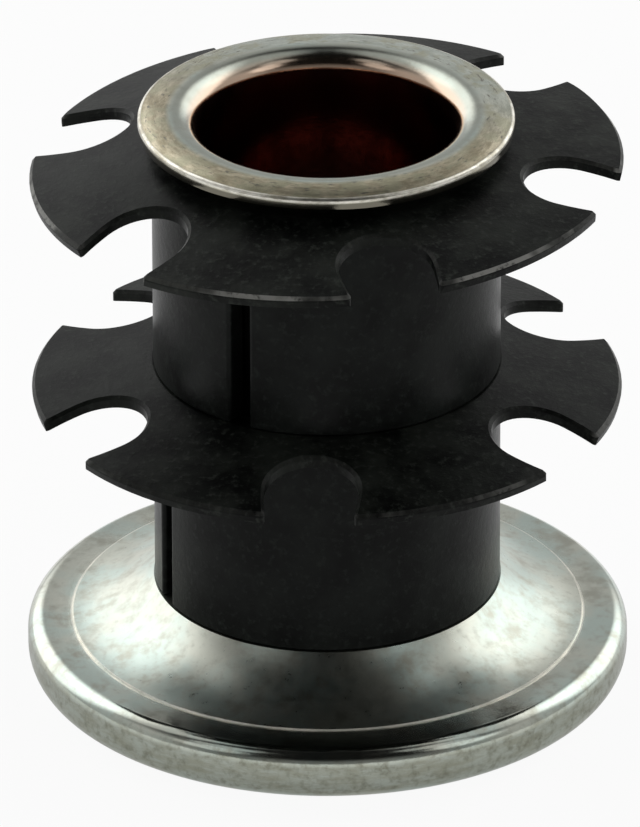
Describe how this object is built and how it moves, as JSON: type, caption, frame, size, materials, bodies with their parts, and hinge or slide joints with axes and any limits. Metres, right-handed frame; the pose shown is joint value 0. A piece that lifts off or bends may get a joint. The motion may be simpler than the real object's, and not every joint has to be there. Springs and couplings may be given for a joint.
{
  "type": "threaded caster insert",
  "caption": "Threaded insert for the end of a round steel tube: a flanged body with split spacer sleeves and dished star washers that grip the tube's inner wall and take a caster stem.",
  "frame": {"origin": "centre of the flange's flat underside, on the thread's axis", "axes": "+Z along the thread's axis, into the tube; -Y towards the side that the picture shows; +X to the right of the picture"},
  "size_m": [0.0254, 0.0254, 0.026],
  "materials": {
    "zinc_plated_steel": "zinc plated, satin bright",
    "black_spacer_steel": "black oxide, satin",
    "black_spring_steel": "hardened and tempered, black oxide, satin"
  },
  "bodies": {
    "root": {"body": "zinc_plated_steel", "lower_spacer": "black_spacer_steel", "lower_star_washer": "black_spring_steel", "upper_spacer": "black_spacer_steel", "upper_star_washer": "black_spring_steel"}
  },
  "joints": []
}
